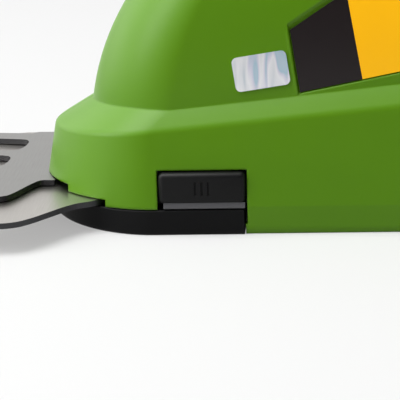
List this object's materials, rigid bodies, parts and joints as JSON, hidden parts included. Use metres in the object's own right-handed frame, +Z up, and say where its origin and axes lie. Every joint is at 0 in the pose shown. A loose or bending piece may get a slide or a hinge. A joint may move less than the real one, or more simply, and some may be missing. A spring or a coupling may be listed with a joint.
{
  "type": "cordless garden shears",
  "caption": "Battery grass shears: low rounded motor body with a closed top handle, trigger, clip-on blade base and two toothed blades that swing across each other.",
  "frame": {"origin": "on the ground, below the axis that the moving blade swings about", "axes": "+Z up, +X along the body from the blades to the battery, -Y the user's left"},
  "size_m": [0.325, 0.1052, 0.129],
  "materials": {
    "green_plastic": "satin",
    "black_plastic": "satin",
    "dark_plastic": "fine texture",
    "grip_rubber": "soft, ribbed",
    "blade_steel": "ground",
    "screw_steel": "plated",
    "motor_steel": "plated",
    "brass": "machined",
    "gear_nylon": "satin",
    "label_film": "printed film, bare",
    "foil_film": "iridescent foil",
    "circuit_board": "lacquered",
    "lamp_lens": "clear",
    "red_wire": "sleeve",
    "black_wire": "sleeve"
  },
  "bodies": {
    "housing": {"left_shell": "green_plastic", "right_shell": "green_plastic", "left_label": "label_film", "right_label": "label_film", "foil_sticker": "foil_film", "grip_sleeve": "grip_rubber", "housing_screw_1": "screw_steel", "housing_screw_2": "screw_steel", "housing_screw_3": "screw_steel", "housing_screw_4": "screw_steel", "housing_screw_5": "screw_steel", "housing_screw_6": "screw_steel", "gearcase_floor": "dark_plastic", "gearcase_cover": "dark_plastic", "case_screw_1": "screw_steel", "case_screw_2": "screw_steel", "crank_bush": "brass", "idler_shaft": "screw_steel", "crank_shaft": "screw_steel", "motor_can": "motor_steel", "motor_magnet": "dark_plastic", "motor_end_cap": "black_plastic", "trigger_pin": "screw_steel", "micro_switch": "black_plastic", "contact_block": "black_plastic", "battery_contact_1": "brass", "battery_contact_2": "brass", "control_board": "circuit_board", "board_relay": "black_plastic", "motor_lead_red": "red_wire", "motor_lead_black": "black_wire", "button_spring_left": "screw_steel", "button_spring_right": "screw_steel"},
    "blade_unit": {"blade_base": "black_plastic", "pivot_insert": "brass", "lower_blade": "blade_steel", "pivot_bolt": "screw_steel", "blade_screw_1": "screw_steel", "blade_screw_2": "screw_steel", "blade_screw_3": "screw_steel", "blade_screw_4": "screw_steel"},
    "moving_blade": {"upper_blade": "blade_steel"},
    "crank": {"crank_gear": "gear_nylon", "crank_pin": "screw_steel"},
    "idler": {"idler_gear": "gear_nylon"},
    "rotor": {"motor_pinion": "brass", "rotor_shaft": "screw_steel", "rotor_core": "screw_steel"},
    "left_button": {"release_button_left": "dark_plastic"},
    "right_button": {"release_button_right": "dark_plastic"},
    "trigger": {"trigger": "dark_plastic"},
    "plunger": {"switch_plunger": "dark_plastic"},
    "lock": {"lock_off_button": "dark_plastic"},
    "battery": {"battery_pack": "black_plastic", "charge_lamp": "lamp_lens"},
    "latch": {"battery_latch": "dark_plastic"}
  },
  "joints": [
    {"name": "blade_release", "type": "slide", "parent": "housing", "child": "blade_unit", "axis": [0, 0, -1], "range_m": [0, 0.025]},
    {"name": "blade_swing", "type": "hinge", "parent": "blade_unit", "child": "moving_blade", "pos_m": [0, 0, 0.0113], "axis": [0, 0, 1], "range_deg": [0, 18]},
    {"name": "rotor_turn", "type": "hinge", "parent": "housing", "child": "rotor", "pos_m": [0.0536, 0, 0.06], "axis": [0, 0, 1], "continuous": true},
    {"name": "idler_turn", "type": "hinge", "parent": "housing", "child": "idler", "pos_m": [0.0352, 0, 0.03], "axis": [0, 0, 1], "continuous": true},
    {"name": "crank_turn", "type": "hinge", "parent": "housing", "child": "crank", "pos_m": [0.016, 0, 0.024], "axis": [0, 0, 1], "continuous": true},
    {"name": "left_button_press", "type": "slide", "parent": "housing", "child": "left_button", "axis": [0, 1, 0], "range_m": [0, 0.0035], "stiffness_N_per_m": 500, "springref_m": -0.001, "deforming": ["button_spring_left"]},
    {"name": "right_button_press", "type": "slide", "parent": "housing", "child": "right_button", "axis": [0, -1, 0], "range_m": [0, 0.0035], "stiffness_N_per_m": 500, "springref_m": -0.001, "deforming": ["button_spring_right"]},
    {"name": "trigger_squeeze", "type": "hinge", "parent": "housing", "child": "trigger", "pos_m": [0.099, 0, 0.0982], "axis": [0, -1, 0], "range_deg": [0, 8], "stiffness_Nm_per_rad": 1.2, "springref_deg": -2.86},
    {"name": "plunger_press", "type": "slide", "parent": "housing", "child": "plunger", "axis": [0, 0, 1], "range_m": [0, 0.002]},
    {"name": "lock_off_slide", "type": "slide", "parent": "housing", "child": "lock", "axis": [-0.9912, 0, -0.1322], "range_m": [0, 0.004], "stiffness_N_per_m": 300, "springref_m": -0.001},
    {"name": "battery_slide", "type": "slide", "parent": "housing", "child": "battery", "axis": [1, 0, 0], "range_m": [0, 0.095]},
    {"name": "latch_press", "type": "slide", "parent": "battery", "child": "latch", "axis": [-1, 0, 0], "range_m": [0, 0.0025], "stiffness_N_per_m": 500, "springref_m": -0.001}
  ],
  "couplings": [
    {"joint": "idler_turn", "follows": "rotor_turn", "ratio": -0.27778},
    {"joint": "crank_turn", "follows": "rotor_turn", "ratio": 0.092593},
    {"joint": "plunger_press", "follows": "trigger_squeeze", "m_per_rad": 0.014}
  ]
}
